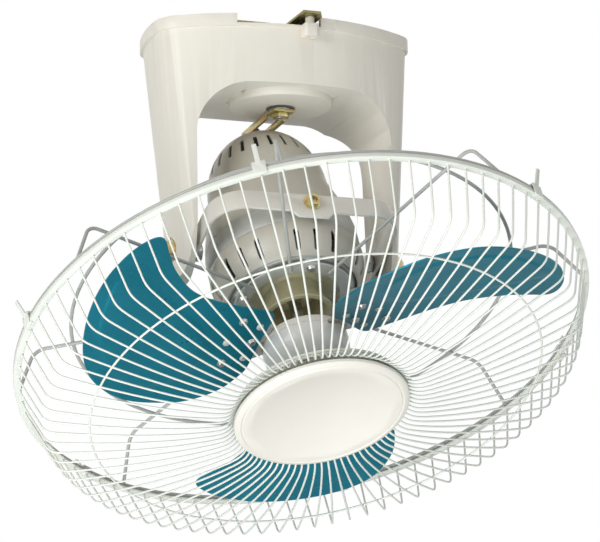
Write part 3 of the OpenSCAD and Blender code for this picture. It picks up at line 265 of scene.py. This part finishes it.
def uneven(name, light, dark, patch, gloss, grain=0.0012, relief=0.00002, metal=0.0, coat=0.0):
    made = bpy.data.materials.new(name)
    made.use_nodes = True
    nodes, links = made.node_tree.nodes, made.node_tree.links
    shader = nodes["Principled BSDF"]
    shader.inputs["Metallic"].default_value = metal
    shader.inputs["Coat Weight"].default_value = coat
    shader.inputs["Coat Roughness"].default_value = COAT_ROUGHNESS
    place = nodes.new("ShaderNodeTexCoord").outputs["Object"]

    cloud = nodes.new("ShaderNodeTexNoise")
    cloud.inputs["Scale"].default_value = 1 / patch
    cloud.inputs["Detail"].default_value = 5
    cloud.inputs["Roughness"].default_value = 0.6
    links.new(place, cloud.inputs["Vector"])
    tint = nodes.new("ShaderNodeValToRGB")
    tint.color_ramp.elements[0].position = TINT_SPAN[0]
    tint.color_ramp.elements[0].color = (*dark, 1)
    tint.color_ramp.elements[1].position = TINT_SPAN[1]
    tint.color_ramp.elements[1].color = (*light, 1)
    links.new(cloud.outputs["Fac"], tint.inputs["Fac"])
    links.new(tint.outputs["Color"], shader.inputs["Base Color"])

    smear = nodes.new("ShaderNodeTexNoise")
    smear.inputs["Scale"].default_value = SMEAR_PER_PATCH / patch
    smear.inputs["Detail"].default_value = 3
    links.new(place, smear.inputs["Vector"])
    sheen = nodes.new("ShaderNodeMapRange")
    sheen.inputs["From Min"].default_value = SHEEN_SPAN[0]
    sheen.inputs["From Max"].default_value = SHEEN_SPAN[1]
    sheen.inputs["To Min"].default_value = gloss[0]
    sheen.inputs["To Max"].default_value = gloss[1]
    links.new(smear.outputs["Fac"], sheen.inputs["Value"])
    links.new(sheen.outputs["Result"], shader.inputs["Roughness"])

    skin = nodes.new("ShaderNodeTexNoise")
    skin.inputs["Scale"].default_value = 1 / grain
    skin.inputs["Detail"].default_value = 2
    links.new(place, skin.inputs["Vector"])
    bump = nodes.new("ShaderNodeBump")
    bump.inputs["Strength"].default_value = BUMP_STRENGTH
    bump.inputs["Distance"].default_value = relief
    links.new(skin.outputs["Fac"], bump.inputs["Height"])
    links.new(bump.outputs["Normal"], shader.inputs["Normal"])
    return made


# %% [markdown]
# The housing, the cap and the hub are moulded in cream plastic. The ring and the motor
# covers are pressed steel under a cream and a beige enamel, and the guard is dipped in a
# white that leans to green. Each gets its own pair of nearly equal colours. The rear guard's
# grey is the same white wire darkened as painted shade, for the wires that lie in shade.

# %% Plastics and enamels
housing_cream = uneven("housing_cream", (0.855, 0.815, 0.72), (0.825, 0.785, 0.685), 0.09,
                       (0.40, 0.50), coat=0.05)
cap_cream = uneven("cap_cream", (0.81, 0.785, 0.70), (0.785, 0.755, 0.67), 0.05, (0.34, 0.44),
                   coat=0.1)
hub_cream = uneven("hub_cream", (0.80, 0.765, 0.68), (0.77, 0.735, 0.65), 0.03, (0.30, 0.38),
                   coat=0.15)
hub_white = uneven("hub_white", (0.80, 0.785, 0.75), (0.77, 0.75, 0.71), 0.03, (0.28, 0.38),
                   coat=0.2)
ring_cream = uneven("ring_cream", (0.78, 0.75, 0.665), (0.745, 0.715, 0.63), 0.03, (0.30, 0.42),
                    grain=0.0007, relief=0.00003, coat=0.2)
cover_beige = uneven("cover_beige", (0.60, 0.57, 0.49), (0.565, 0.535, 0.455), 0.03, (0.34, 0.46),
                     grain=0.0007, relief=0.00004, coat=0.15)
guard_white = uneven("guard_white", (0.80, 0.82, 0.745), (0.755, 0.78, 0.70), 0.012, (0.30, 0.45),
                     grain=0.0005, relief=0.00003, coat=0.2)
# Painted shade: the guard's white darkened to grey, for the rear guard that lies in shade.
guard_white_painted_shade = uneven("guard_white_painted_shade", (0.50, 0.505, 0.47), (0.44, 0.445, 0.41), 0.012, (0.30, 0.45),
                    grain=0.0005, relief=0.00003, coat=0.2)
terminal_white = uneven("terminal_white", (0.80, 0.79, 0.74), (0.76, 0.75, 0.70), 0.01, (0.4, 0.5))
dark_plastic = uneven("dark_plastic", (0.13, 0.12, 0.105), (0.095, 0.09, 0.08), 0.01, (0.35, 0.5))

# %% [markdown]
# The bare metals differ in their grain: rolled steel is fine and fairly bright, die-cast
# alloy is duller with a coarser skin, and the lamination stack and the windings are
# varnished. They show through the slots of the covers and round the neck.

# %% Bare metals and windings
plain_steel = uneven("plain_steel", (0.62, 0.62, 0.61), (0.47, 0.47, 0.46), 0.006, (0.24, 0.42),
                     grain=0.0006, relief=0.00003, metal=1.0)
casting = uneven("casting", (0.63, 0.64, 0.60), (0.52, 0.53, 0.49), 0.014, (0.42, 0.6),
                 grain=0.0011, relief=0.00009, metal=0.35)
drive_case = uneven("drive_case", (0.30, 0.30, 0.29), (0.23, 0.23, 0.22), 0.01, (0.5, 0.65),
                    metal=0.4)
lamination = uneven("lamination", (0.13, 0.13, 0.135), (0.08, 0.08, 0.085), 0.004, (0.4, 0.6),
                    metal=0.6)
copper = uneven("copper", (0.42, 0.17, 0.06), (0.30, 0.11, 0.04), 0.003, (0.3, 0.45),
                grain=0.0008, relief=0.0002, metal=0.6)

# %% [markdown]
# The bell at the front of the motor is one casting with two looks: a plain grey-white face
# and a neck that oil and lacquer have turned yellow. How far a point lies from the fan's axis
# tells them apart, and a cross product with the axis gives that distance.

# %% A casting with a tinted neck
NECK_EDGE, NECK_BLUR = 0.031, 0.001
NECK_TINT = (0.93, 0.86, 0.58, 1)


def tinted_neck():
    made = uneven("tinted_neck", (0.66, 0.665, 0.63), (0.56, 0.565, 0.53), 0.014, (0.42, 0.6),
                  grain=0.0011, relief=0.00009, metal=0.3)
    nodes, links = made.node_tree.nodes, made.node_tree.links
    shader = nodes["Principled BSDF"]
    tint = node_of(made, "ShaderNodeValToRGB")
    place = node_of(made, "ShaderNodeTexCoord").outputs["Object"]
    arm = nodes.new("ShaderNodeVectorMath")
    arm.operation = "SUBTRACT"
    links.new(place, arm.inputs[0])
    arm.inputs[1].default_value = gimbal_centre
    across = nodes.new("ShaderNodeVectorMath")
    across.operation = "CROSS_PRODUCT"
    links.new(arm.outputs["Vector"], across.inputs[0])
    across.inputs[1].default_value = air_stream
    distance = nodes.new("ShaderNodeVectorMath")
    distance.operation = "LENGTH"
    links.new(across.outputs["Vector"], distance.inputs[0])
    neck = nodes.new("ShaderNodeMapRange")
    neck.inputs["From Min"].default_value = NECK_EDGE + NECK_BLUR
    neck.inputs["From Max"].default_value = NECK_EDGE
    links.new(distance.outputs["Value"], neck.inputs["Value"])
    blend = nodes.new("ShaderNodeMix")
    blend.data_type = "RGBA"
    blend.blend_type = "MULTIPLY"
    links.new(neck.outputs["Result"], blend.inputs["Factor"])
    links.new(tint.outputs["Color"], blend.inputs["A"])
    blend.inputs["B"].default_value = NECK_TINT
    links.new(blend.outputs["Result"], shader.inputs["Base Color"])
    return made


bell_casting = tinted_neck()

# %% [markdown]
# Zinc that was passivated yellow is the one showy metal on the fan. Its thin film breaks
# light into gold, olive and pink, in patches of a few millimetres, so the colour ramp gets
# four stops in place of two. A second, darker copy of the zinc is painted shade, for the
# hanger plate whose underside lies in shade.

# %% Yellow zinc
GOLD_AT, OLIVE_AT = 0.45, 0.56


def passivated(name, edge, gold, olive, pale):
    made = uneven(name, pale, edge, 0.006, (0.22, 0.40), grain=0.0008, relief=0.00003, metal=0.9)
    film = node_of(made, "ShaderNodeValToRGB").color_ramp
    film.elements.new(GOLD_AT).color = (*gold, 1)
    film.elements.new(OLIVE_AT).color = (*olive, 1)
    return made


zinc_yellow = passivated("zinc_yellow", (0.42, 0.36, 0.15), (0.62, 0.42, 0.20), (0.50, 0.50, 0.22),
                         (0.66, 0.52, 0.24))
# Painted shade: a darker copy of the yellow zinc, for the hanger plate's shaded underside.
zinc_painted_shade = passivated("zinc_painted_shade", (0.20, 0.17, 0.07), (0.34, 0.25, 0.11), (0.24, 0.26, 0.10),
                        (0.40, 0.33, 0.15))

# %% [markdown]
# The blades carry a metallic teal lacquer. Seen close, such a lacquer is a deep base with
# tiny bright flakes under a clear coat, so small cells turn some of the surface lighter and
# the coat gives the sharp reflection.

# %% Teal lacquer
FLAKE, FLAKE_SHARE, FLAKE_COLOUR = 0.0006, 0.22, (0.03, 0.36, 0.46, 1)
LACQUER_SPECULAR = 0.2


def lacquer():
    made = uneven("blade_teal", (0.008, 0.215, 0.30), (0.005, 0.165, 0.235), 0.05, (0.26, 0.36),
                  grain=0.0016, relief=0.00003, metal=0.5, coat=0.12)
    nodes, links = made.node_tree.nodes, made.node_tree.links
    shader = nodes["Principled BSDF"]
    shader.inputs["Specular IOR Level"].default_value = LACQUER_SPECULAR
    tint = node_of(made, "ShaderNodeValToRGB")
    flakes = nodes.new("ShaderNodeTexVoronoi")
    flakes.inputs["Scale"].default_value = 1 / FLAKE
    place = node_of(made, "ShaderNodeTexCoord").outputs["Object"]
    links.new(place, flakes.inputs["Vector"])
    spark = nodes.new("ShaderNodeMapRange")
    spark.inputs["To Max"].default_value = FLAKE_SHARE
    links.new(flakes.outputs["Color"], spark.inputs["Value"])
    blend = nodes.new("ShaderNodeMix")
    blend.data_type = "RGBA"
    links.new(spark.outputs["Result"], blend.inputs["Factor"])
    links.new(tint.outputs["Color"], blend.inputs["A"])
    blend.inputs["B"].default_value = FLAKE_COLOUR
    links.new(blend.outputs["Result"], shader.inputs["Base Color"])
    return made


blade_teal = lacquer()

# %% [markdown]
# ## Pieces whose solid is right
# A solid that already has the right shape only needs a finish and soft edges. Its own mesh
# is left alone. A copy is taken, its loose triangles are merged, flat neighbours are
# dissolved to clean faces, and a small bevel rounds the edges as paint or a mould would.

# %% Dress a copy of a solid
SOLID_MERGE_WITHIN = 2e-6
FLAT_WITHIN = math.radians(1)


def dressed(node, name, slot, finish, edge=0.0, angle=40, segments=2):
    source = frame["nodes"][node]
    pick(source)
    bpy.ops.object.duplicate()
    piece = bpy.context.object
    del piece["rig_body"], piece["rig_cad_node"]
    piece.parent = None
    pick(piece)
    bpy.ops.object.mode_set(mode="EDIT")
    bpy.ops.mesh.select_all(action="SELECT")
    bpy.ops.mesh.customdata_custom_splitnormals_clear()
    bpy.ops.mesh.remove_doubles(threshold=SOLID_MERGE_WITHIN)
    bpy.ops.mesh.dissolve_limited(angle_limit=FLAT_WITHIN)
    bpy.ops.object.mode_set(mode="OBJECT")
    round_off(piece, edge, angle=angle, segments=segments)
    return declare(piece, name, source["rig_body"], slot, finish, node)


# %% [markdown]
# The housing is one moulding, and its rounded edges are what makes it read as plastic, so
# it gets the widest bevel. The ring and the covers are pressed sheet with tighter edges.

# %% Housing, ring and covers
dressed("housing", "housing_shell", "housing_cream", housing_cream, edge=0.0012, angle=50,
        segments=3)
dressed("lock_lug", "lug", "housing_cream", housing_cream, edge=0.0005, angle=50)
dressed("gimbal_ring", "gimbal_strap", "ring_cream", ring_cream, edge=0.0005)
dressed("motor_rear_cover", "rear_cover", "cover_beige", cover_beige, edge=0.0003, angle=50)
dressed("motor_front_cover", "front_cover", "cover_beige", cover_beige, edge=0.0003, angle=50)
dressed("pivot_collar", "collar", "motor_casting", casting, edge=0.0005)
dressed("front_bell", "bell", "motor_casting", bell_casting, edge=0.0004, angle=50)
dressed("rear_bracket", "rear_bearing_bracket", "motor_casting", casting)

# %% [markdown]
# The small hardware is handled alike, from a list: solid, piece, record slot, finish and the
# width of its edge. Nuts, bolts and brackets are zinc or steel, bushes are dark plastic.

# %% Hardware
hardware = (
    # The hanger plate gets the darker zinc copy, which is painted shade.
    ("ceiling_bracket", "hanger_plate", "bracket_zinc", zinc_painted_shade, 0.0003),
    ("orbit_gearbox", "gear_case", "drive_case", drive_case, 0.0005),
    ("orbit_motor", "slow_motor", "plain_steel", plain_steel, 0.0005),
    ("gearbox_screws", "gear_case_screws", "plain_steel", plain_steel, 0.0),
    ("terminal_block", "terminals", "terminal_white", terminal_white, 0.0003),
    ("soffit_bush", "shaft_bush", "bush_plastic", dark_plastic, 0.0002),
    ("leg_bolts", "pivot_bolts", "plain_steel", plain_steel, 0.0003),
    ("leg_nuts", "pivot_nuts", "bracket_zinc", zinc_yellow, 0.0003),
    ("orbit_shaft", "crank_shaft", "plain_steel", plain_steel, 0.0003),
    ("crank_fork", "fork", "bracket_zinc", zinc_yellow, 0.0003),
    ("crank_washer", "fork_washer", "plain_steel", plain_steel, 0.0002),
    ("crank_nut", "fork_nut", "bracket_zinc", zinc_yellow, 0.0003),
    ("tail_socket", "socket", "bush_plastic", dark_plastic, 0.0003),
    ("fork_pin", "socket_pin", "plain_steel", plain_steel, 0.0002),
    ("leg_bushes", "pivot_bushes", "bush_plastic", dark_plastic, 0.0002),
    ("ring_studs", "strap_studs", "plain_steel", plain_steel, 0.0002),
    ("ring_nuts", "strap_nuts", "bracket_zinc", zinc_yellow, 0.0004),
    ("stator_core", "laminations", "lamination", lamination, 0.0),
    ("stator_windings", "windings", "copper", copper, 0.0),
    ("motor_bearings", "bearings", "plain_steel", plain_steel, 0.0),
    ("motor_screws", "stack_screws", "plain_steel", plain_steel, 0.0),
    ("tail_pin", "tail_rod", "plain_steel", plain_steel, 0.0002),
    ("tail_nut", "tail_rod_nut", "bracket_zinc", zinc_yellow, 0.0002),
    ("guard_plate", "strut_plate", "motor_casting", casting, 0.0004),
    ("guard_screws", "strut_plate_screws", "plain_steel", plain_steel, 0.0),
    # The rear hoop and rim get the guard's white darkened to grey, as painted shade.
    ("rear_ring", "rear_hoop", "guard_white", guard_white_painted_shade, 0.0),
    ("rear_rim", "rear_rim_wire", "guard_white", guard_white_painted_shade, 0.0),
    ("front_rim", "front_rim_band", "guard_white", guard_white, 0.0003),
    ("front_ring", "front_hoop", "guard_white", guard_white, 0.0),
    ("cap_ring", "cap_hoop", "guard_white", guard_white, 0.0),
    ("guard_cap", "cap", "cap_cream", cap_cream, 0.0),
    ("cap_backing", "cap_holder", "cap_cream", cap_cream, 0.0003),
    ("cap_screws", "cap_holder_screws", "plain_steel", plain_steel, 0.0),
    ("guard_clips", "rim_clips", "guard_white", guard_white, 0.0002),
    ("motor_shaft", "spindle", "plain_steel", plain_steel, 0.0004),
    ("rotor_core", "rotor_stack", "lamination", lamination, 0.0),
    ("blade_hub", "hub_bowl", "hub_cream", hub_cream, 0.0003),
    ("hub_dome", "hub_cap", "hub_white", hub_white, 0.0002),
    ("hub_nut", "spindle_nut", "plain_steel", plain_steel, 0.0003),
    ("blade_arms", "arm_plates", "plain_steel", plain_steel, 0.0003),
    ("blade_screws", "blade_screw_heads", "plain_steel", plain_steel, 0.0003),
    ("blade_rivets", "blade_rivet_heads", "motor_casting", casting, 0.0003),
)
for node, name, slot, finish, edge in hardware:
    dressed(node, name, slot, finish, edge=edge, angle=50)

# %% [markdown]
# ## Guard wires
# A front wire leaves the cap's ring, runs out along a shallow curve, turns sharply at the
# outer bend and drops to the rim. In Blender a bent wire is a curve with a round bevel. One
# wire is drawn in the plane through the fan's axis, made a mesh, and copied round the axis.

# %% Bent wire from a path
def bent_wire(name, path, thickness, around):
    bpy.ops.object.select_all(action="DESELECT")
    bpy.ops.curve.primitive_bezier_curve_add()
    wire = bpy.context.object
    wire.name = name
    wire.data.dimensions = "3D"
    spline = wire.data.splines[0]
    spline.bezier_points.add(len(path) - 2)
    for knot, (radius, height) in zip(spline.bezier_points, path):
        knot.co = (radius, 0, height)
        knot.handle_left_type = knot.handle_right_type = "AUTO"
    spline.resolution_u = 2
    wire.data.bevel_depth = thickness / 2
    wire.data.bevel_resolution = (around - 4) // 2
    wire.data.use_fill_caps = True
    pick(wire)
    bpy.ops.object.convert(target="MESH")
    return bpy.context.object


def spread(piece, count, first):
    copies = [piece]
    for k in range(count):
        turn = Matrix.Rotation(math.radians(first + 360 * k / count), 4, "Z")
        if k:
            pick(piece)
            bpy.ops.object.duplicate()
            copies.append(bpy.context.object)
        copies[k].matrix_world = turn
    pick(*copies)
    bpy.ops.object.transform_apply(location=True, rotation=True, scale=True)
    pick(*copies)
    bpy.ops.object.join()
    return bpy.context.object


# %% [markdown]
# The path is nearly the one that the solids follow. It falls 0.3 mm further at the outer bend,
# so that the wires stay inside the solids' box. Heights are over the rim's plane. The face of
# the guard falls away with the power of one and a half of the distance from the cap, which
# keeps it nearly flat in the middle and steep at the edge.

# %% Front wires
WIRE, WIRE_COUNT, WIRE_TURN = 1.6, 88, 2.45
RIM_IN, RIM_FACE = 214.0, 3.8
FACE_FROM, FACE_TO, FACE_TOP, FACE_FALL = 78.0, 199.5, 69.4, 24.3


def face_height(radius):
    share = max(0.0, radius - FACE_FROM) / (FACE_TO - FACE_FROM)
    return FACE_TOP - FACE_FALL * share ** 1.5


FACE_STEPS = 10
LAST_ON_FACE = 197.0
CAP_CURVE = [(62.0, 59.1), (65.2, 62.8), (68.7, 66.4), (72.8, 68.6)]
OUTER_BEND = [(199.8, 0.6), (202.5, 2.8), (204.4, 6.0), (205.9, 10.5)]
SKIRT = (211.0, 19.6)
PAST_RIM, UNDER_FACE = 2, 0.1

bend = face_height(FACE_TO)
stride = (FACE_TO - FACE_FROM) / FACE_STEPS
front_path = CAP_CURVE + [(FACE_FROM, FACE_TOP)]
for k in range(1, FACE_STEPS):
    front_path.append((FACE_FROM + stride * k, face_height(FACE_FROM + stride * k)))
front_path.append((LAST_ON_FACE, face_height(LAST_ON_FACE)))
front_path += [(radius, bend - drop) for radius, drop in OUTER_BEND]
front_path += [SKIRT, (RIM_IN + PAST_RIM, RIM_FACE - UNDER_FACE)]
wires = spread(bent_wire("wire", front_path, WIRE, around=8), WIRE_COUNT, WIRE_TURN)
settle(wires, at_rim)
round_off(wires, 0, smooth=60)
declare(wires, "front_guard_wires", "head", "guard_white", guard_white, "front_wires")

# %% [markdown]
# The eight struts behind the blades are thicker and straighter. They run out flat from the
# plate on the motor and bend forward once, in a tight arc, to the rear rim.

# %% Rear struts
STRUT, STRUT_COUNT, STRUT_TURN = 2.8, 8, 22.5
root, corner, tip = Vector((40.5, 42)), Vector((199, 37)), Vector((216.8, 72.0))
BEND_R, BEND_STEPS = 14.0, 8


def rounded_corner(start, middle, end, radius, steps):
    arrive, leave = (middle - start).normalized(), (end - middle).normalized()
    turn = arrive.angle(leave)
    begin = middle - arrive * radius * math.tan(turn / 2)
    inward = Vector((-arrive.y, arrive.x)) * radius
    centre = begin + inward
    points = []
    for k in range(steps + 1):
        angle = turn * k / steps
        c, s = math.cos(angle), math.sin(angle)
        points.append(centre - Vector((inward.x * c - inward.y * s, inward.x * s + inward.y * c)))
    return points


strut_path = [root, root.lerp(corner, 0.5)]
strut_path += rounded_corner(root, corner, tip, BEND_R, BEND_STEPS) + [tip]
strut = bent_wire("strut", [tuple(point) for point in strut_path], STRUT, around=12)
struts = spread(strut, STRUT_COUNT, STRUT_TURN)
settle(struts, along_fan)
round_off(struts, 0, smooth=60)
# The struts get the guard's white darkened to grey, as painted shade.
declare(struts, "rear_guard_struts", "head", "guard_white", guard_white_painted_shade, "rear_struts")

# %% [markdown]
# ## Blades
# A blade is a sickle cut from a helical sheet, with an oval field pressed up in its middle,
# which stiffens it and shows as a thin line of light. A flat grid is the natural start: one
# side of it runs from root to tip and the other across the blade, and each point is moved to
# its place on the sheet. Solidify gives the thickness.

# %% The blade's outline and its surface
BLADE_COUNT, BLADE_TURN = 3, 46.2
ROOT_R, TIP_R = 38.0, 200.0
SEAT, LEAN, PITCH, SHEET = 3.5, math.radians(5.5), math.radians(12), 1.2
MIDDLE = (3, 11.6, 12.9, 10, 4.9, -3, -15)
HALF = (36, 34.3, 30, 25.8, 23.4, 20.4, 19)
ROOT_ROUND, TIP_ROUND = 0.08, 0.22
FIELD_AT, FIELD_HALF = (0.60, 0.0), (0.31, 0.64)
FIELD_RISE, FIELD_STEP = 1.1, 0.13


def smooth_value(values, t):
    last = len(values) - 1
    x = min(last - 1e-6, max(0.0, t * last))
    i = int(x)
    f = x - i
    a, b, c, d = values[max(i - 1, 0)], values[i], values[i + 1], values[min(i + 2, last)]
    return b + 0.5 * f * (c - a + f * (2 * a - 5 * b + 4 * c - d + f * (3 * (b - c) + d - a)))


def end_round(t):
    if t < ROOT_ROUND:
        return math.sqrt(1 - ((ROOT_ROUND - t) / ROOT_ROUND) ** 2)
    if t > 1 - TIP_ROUND:
        return math.sqrt(max(0.0, 1 - ((t - 1 + TIP_ROUND) / TIP_ROUND) ** 2))
    return 1.0


def pressed_field(t, v):
    out = math.hypot((t - FIELD_AT[0]) / FIELD_HALF[0], (v - FIELD_AT[1]) / FIELD_HALF[1])
    step = min(1.0, max(0.0, (1 + FIELD_STEP - out) / FIELD_STEP))
    return FIELD_RISE * step * step * (3 - 2 * step)


def blade_point(t, v):
    radius = ROOT_R + (TIP_R - ROOT_R) * t
    turn = math.radians(smooth_value(MIDDLE, t) + v * smooth_value(HALF, t) * end_round(t))
    height = SEAT + radius * math.tan(LEAN) + math.tan(PITCH) * radius * turn
    height += pressed_field(t, v)
    return Vector((radius * math.cos(turn), radius * math.sin(turn), height))


# %% [markdown]
# The rows of the grid are crowded toward the root and the tip, where the outline turns
# fastest. After Solidify the rim gets a small bevel, so that its edge catches the light.

# %% Press the blades
ROWS, COLUMNS = 110, 61
GRID_FROM, GRID_SPAN = 0.0015, 0.997
BLADE_EDGE = 0.0003


def blade(k):
    bpy.ops.object.select_all(action="DESELECT")
    bpy.ops.mesh.primitive_grid_add(x_subdivisions=ROWS, y_subdivisions=COLUMNS, size=2)
    piece = bpy.context.object
    for corner_point in piece.data.vertices:
        along, across = (corner_point.co.x + 1) / 2, corner_point.co.y
        t = GRID_FROM + GRID_SPAN * (1 - math.cos(math.pi * along)) / 2
        corner_point.co = blade_point(t, across)
    sheet = piece.modifiers.new("sheet", "SOLIDIFY")
    sheet.thickness = SHEET
    sheet.offset = -1
    bpy.ops.object.modifier_apply(modifier=sheet.name)
    turn = Matrix.Rotation(math.radians(BLADE_TURN + 360 * k / BLADE_COUNT), 4, "Z")
    piece.matrix_world = turn
    settle(piece, at_rim)
    outward(piece)
    round_off(piece, BLADE_EDGE, angle=60, segments=2, smooth=40)
    declare(piece, f"fan_blade_{k + 1}", "rotor", "blade_teal", blade_teal, f"blade_{k + 1}")


for k in range(BLADE_COUNT):
    blade(k)

# %% [markdown]
# ## Final update
# The dressed fan is meant to stay inside the box of the solids, and the view layer is
# updated at the end.

# %% Update the view layer
bpy.context.view_layer.update()
